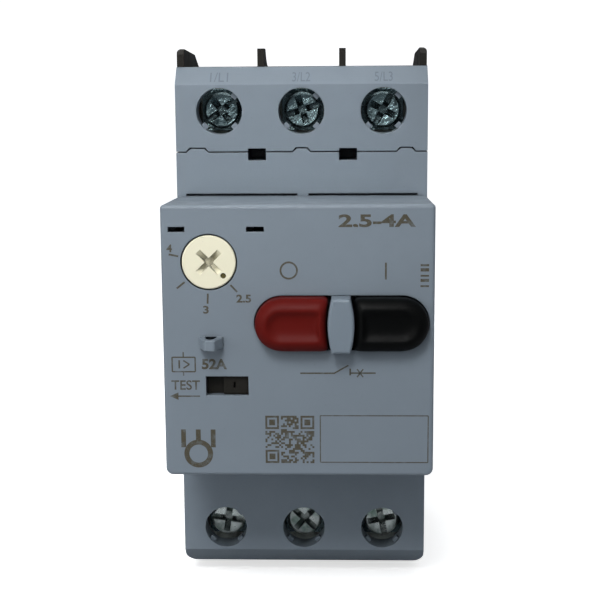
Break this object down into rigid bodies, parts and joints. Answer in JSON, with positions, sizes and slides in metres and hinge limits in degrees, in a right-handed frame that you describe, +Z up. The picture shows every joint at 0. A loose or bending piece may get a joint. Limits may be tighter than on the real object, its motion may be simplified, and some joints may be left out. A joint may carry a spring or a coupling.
{
  "type": "motor protection circuit breaker",
  "caption": "Rail-mounted motor protection breaker with push buttons, current dial, test slider and screw terminals top and bottom.",
  "frame": {"origin": "middle of the 35 mm rail position on the back plane", "axes": "+X to the right seen from the front, +Y back towards the wall, +Z up"},
  "size_m": [0.045, 0.0716, 0.0987],
  "materials": {
    "blue_grey_plastic": "fine moulded texture",
    "charcoal_plastic": "fine moulded texture",
    "light_grey_plastic": "satin",
    "red_plastic": "satin moulded",
    "black_plastic": "satin moulded",
    "cream_plastic": "satin moulded",
    "white_plastic": "moulded",
    "fibre_board": "pressed board",
    "zinc_steel": "zinc plated",
    "spring_steel": "drawn wire",
    "soft_steel": "rolled sheet",
    "copper": "drawn copper",
    "tinned_copper": "tin plated",
    "silver_contact": "silver alloy",
    "bimetal": "rolled strip"
  },
  "bodies": {
    "housing": {"base_housing": "charcoal_plastic", "main_housing": "blue_grey_plastic", "upper_terminal_cover": "blue_grey_plastic", "front_cover": "blue_grey_plastic", "button_bridge": "light_grey_plastic", "mechanism_frame": "soft_steel", "mechanism_pins": "spring_steel", "fixed_contact_tips": "silver_contact", "line_conductors": "tinned_copper", "load_contact_strips": "copper", "load_terminal_plates": "tinned_copper", "arc_chute_plates": "soft_steel", "arc_chute_cards": "fibre_board", "coil_windings": "copper", "coil_bobbins": "white_plastic", "magnet_yokes": "soft_steel", "bimetal_brackets": "copper", "housing_screws": "zinc_steel", "start_button_spring": "spring_steel", "stop_button_spring": "spring_steel", "test_slider_spring": "spring_steel", "carrier_return_springs": "spring_steel", "latch_spring": "spring_steel"},
    "start_button": {"start_button": "black_plastic"},
    "stop_button": {"stop_button": "red_plastic"},
    "toggle_lever": {"toggle_lever": "soft_steel"},
    "latch_lever": {"latch_lever": "soft_steel"},
    "contact_carrier": {"contact_carrier": "black_plastic", "contact_springs": "spring_steel"},
    "contact_bridges": {"contact_bridges": "copper", "moving_contact_tips": "silver_contact"},
    "setting_dial": {"setting_dial": "cream_plastic"},
    "adjusting_lever": {"adjusting_lever": "white_plastic"},
    "test_slider": {"test_slider": "charcoal_plastic"},
    "trip_lever": {"trip_lever": "white_plastic"},
    "rail_latch": {"rail_latch": "charcoal_plastic"},
    "trip_slide_bar": {"trip_slide_bar": "white_plastic"},
    "plunger_1": {"plunger_1": "soft_steel"},
    "bimetal_1": {"bimetal_1": "bimetal", "heater_1": "spring_steel"},
    "line_clamp_1": {"line_clamp_1": "zinc_steel"},
    "line_screw_1": {"line_screw_1": "zinc_steel"},
    "load_clamp_1": {"load_clamp_1": "zinc_steel"},
    "load_screw_1": {"load_screw_1": "zinc_steel"},
    "plunger_2": {"plunger_2": "soft_steel"},
    "bimetal_2": {"bimetal_2": "bimetal", "heater_2": "spring_steel"},
    "line_clamp_2": {"line_clamp_2": "zinc_steel"},
    "line_screw_2": {"line_screw_2": "zinc_steel"},
    "load_clamp_2": {"load_clamp_2": "zinc_steel"},
    "load_screw_2": {"load_screw_2": "zinc_steel"},
    "plunger_3": {"plunger_3": "soft_steel"},
    "bimetal_3": {"bimetal_3": "bimetal", "heater_3": "spring_steel"},
    "line_clamp_3": {"line_clamp_3": "zinc_steel"},
    "line_screw_3": {"line_screw_3": "zinc_steel"},
    "load_clamp_3": {"load_clamp_3": "zinc_steel"},
    "load_screw_3": {"load_screw_3": "zinc_steel"}
  },
  "joints": [
    {"name": "start_press", "type": "slide", "parent": "housing", "child": "start_button", "axis": [0, 1, 0], "range_m": [0, 0.0036], "deforming": ["start_button_spring"]},
    {"name": "toggle_turn", "type": "hinge", "parent": "housing", "child": "toggle_lever", "pos_m": [0.013, -0.049, -0.003], "axis": [-1, 0, 0], "range_deg": [0, 23]},
    {"name": "carrier_slide", "type": "slide", "parent": "housing", "child": "contact_carrier", "axis": [0, 1, 0], "range_m": [0, 0.00301], "deforming": ["carrier_return_springs"]},
    {"name": "bridge_slide", "type": "slide", "parent": "housing", "child": "contact_bridges", "axis": [0, 1, 0], "range_m": [0, 0.00251], "deforming": ["contact_springs"]},
    {"name": "stop_press", "type": "slide", "parent": "housing", "child": "stop_button", "axis": [0, 1, 0], "range_m": [0, 0.003], "deforming": ["stop_button_spring"]},
    {"name": "latch_turn", "type": "hinge", "parent": "housing", "child": "latch_lever", "pos_m": [-0.001, -0.049, -0.003], "axis": [-1, 0, 0], "range_deg": [0, 19.2]},
    {"name": "dial_turn", "type": "hinge", "parent": "housing", "child": "setting_dial", "pos_m": [-0.0146, -0.066, 0.01345], "axis": [0, 1, 0], "range_deg": [0, 145]},
    {"name": "adjusting_turn", "type": "hinge", "parent": "housing", "child": "adjusting_lever", "pos_m": [-0.0115, -0.055, -0.0005], "axis": [0, 1, 0], "range_deg": [0, 6]},
    {"name": "test_slide", "type": "slide", "parent": "housing", "child": "test_slider", "axis": [-1, 0, 0], "range_m": [0, 0.0028], "deforming": ["test_slider_spring"]},
    {"name": "trip_turn", "type": "hinge", "parent": "housing", "child": "trip_lever", "pos_m": [-0.0095, -0.061, -0.018], "axis": [0, -1, 0], "range_deg": [0, 15.6]},
    {"name": "rail_latch_slide", "type": "slide", "parent": "housing", "child": "rail_latch", "axis": [0, 0, -1], "range_m": [0, 0.003], "deforming": ["latch_spring"]},
    {"name": "overload_slide", "type": "slide", "parent": "housing", "child": "trip_slide_bar", "axis": [1, 0, 0], "range_m": [0, 0.0015]},
    {"name": "plunger_slide_1", "type": "slide", "parent": "housing", "child": "plunger_1", "axis": [0, -1, 0], "range_m": [0, 0.0025]},
    {"name": "bimetal_bend_1", "type": "hinge", "parent": "housing", "child": "bimetal_1", "pos_m": [-0.01665, -0.038, -0.029], "axis": [0, 1, 0], "range_deg": [0, 3.75]},
    {"name": "line_clamp_slide_1", "type": "slide", "parent": "housing", "child": "line_clamp_1", "axis": [0, -1, 0], "range_m": [0, 0.00332]},
    {"name": "line_screw_turn_1", "type": "hinge", "parent": "line_clamp_1", "child": "line_screw_1", "pos_m": [-0.01465, -0.0368, 0.0372], "axis": [0, -1, 0], "range_deg": [0, 1712]},
    {"name": "load_clamp_slide_1", "type": "slide", "parent": "housing", "child": "load_clamp_1", "axis": [0, -1, 0], "range_m": [0, 0.00332]},
    {"name": "load_screw_turn_1", "type": "hinge", "parent": "load_clamp_1", "child": "load_screw_1", "pos_m": [-0.01465, -0.0368, -0.0404], "axis": [0, -1, 0], "range_deg": [0, 1712]},
    {"name": "plunger_slide_2", "type": "slide", "parent": "housing", "child": "plunger_2", "axis": [0, -1, 0], "range_m": [0, 0.0025]},
    {"name": "bimetal_bend_2", "type": "hinge", "parent": "housing", "child": "bimetal_2", "pos_m": [-0.002, -0.038, -0.029], "axis": [0, 1, 0], "range_deg": [0, 3.75]},
    {"name": "line_clamp_slide_2", "type": "slide", "parent": "housing", "child": "line_clamp_2", "axis": [0, -1, 0], "range_m": [0, 0.00332]},
    {"name": "line_screw_turn_2", "type": "hinge", "parent": "line_clamp_2", "child": "line_screw_2", "pos_m": [0, -0.0368, 0.0372], "axis": [0, -1, 0], "range_deg": [0, 1712]},
    {"name": "load_clamp_slide_2", "type": "slide", "parent": "housing", "child": "load_clamp_2", "axis": [0, -1, 0], "range_m": [0, 0.00332]},
    {"name": "load_screw_turn_2", "type": "hinge", "parent": "load_clamp_2", "child": "load_screw_2", "pos_m": [0, -0.0368, -0.0404], "axis": [0, -1, 0], "range_deg": [0, 1712]},
    {"name": "plunger_slide_3", "type": "slide", "parent": "housing", "child": "plunger_3", "axis": [0, -1, 0], "range_m": [0, 0.0025]},
    {"name": "bimetal_bend_3", "type": "hinge", "parent": "housing", "child": "bimetal_3", "pos_m": [0.01265, -0.038, -0.029], "axis": [0, 1, 0], "range_deg": [0, 3.75]},
    {"name": "line_clamp_slide_3", "type": "slide", "parent": "housing", "child": "line_clamp_3", "axis": [0, -1, 0], "range_m": [0, 0.00332]},
    {"name": "line_screw_turn_3", "type": "hinge", "parent": "line_clamp_3", "child": "line_screw_3", "pos_m": [0.01465, -0.0368, 0.0372], "axis": [0, -1, 0], "range_deg": [0, 1712]},
    {"name": "load_clamp_slide_3", "type": "slide", "parent": "housing", "child": "load_clamp_3", "axis": [0, -1, 0], "range_m": [0, 0.00332]},
    {"name": "load_screw_turn_3", "type": "hinge", "parent": "load_clamp_3", "child": "load_screw_3", "pos_m": [0.01465, -0.0368, -0.0404], "axis": [0, -1, 0], "range_deg": [0, 1712]}
  ],
  "couplings": [
    {"joint": "toggle_turn", "follows": "start_press", "rad_per_m": 111.11},
    {"joint": "carrier_slide", "follows": "start_press", "ratio": 0.83333},
    {"joint": "bridge_slide", "follows": "start_press", "ratio": 0.69444},
    {"joint": "latch_turn", "follows": "stop_press", "rad_per_m": 111.11},
    {"joint": "adjusting_turn", "follows": "dial_turn", "ratio": 0.0411},
    {"joint": "trip_turn", "follows": "test_slide", "rad_per_m": 96.429},
    {"joint": "bimetal_bend_1", "follows": "overload_slide", "rad_per_m": 43.05},
    {"joint": "line_screw_turn_1", "follows": "line_clamp_slide_1", "rad_per_m": 8976},
    {"joint": "load_screw_turn_1", "follows": "load_clamp_slide_1", "rad_per_m": 8976},
    {"joint": "bimetal_bend_2", "follows": "overload_slide", "rad_per_m": 43.05},
    {"joint": "line_screw_turn_2", "follows": "line_clamp_slide_2", "rad_per_m": 8976},
    {"joint": "load_screw_turn_2", "follows": "load_clamp_slide_2", "rad_per_m": 8976},
    {"joint": "bimetal_bend_3", "follows": "overload_slide", "rad_per_m": 43.05},
    {"joint": "line_screw_turn_3", "follows": "line_clamp_slide_3", "rad_per_m": 8976},
    {"joint": "load_screw_turn_3", "follows": "load_clamp_slide_3", "rad_per_m": 8976}
  ]
}
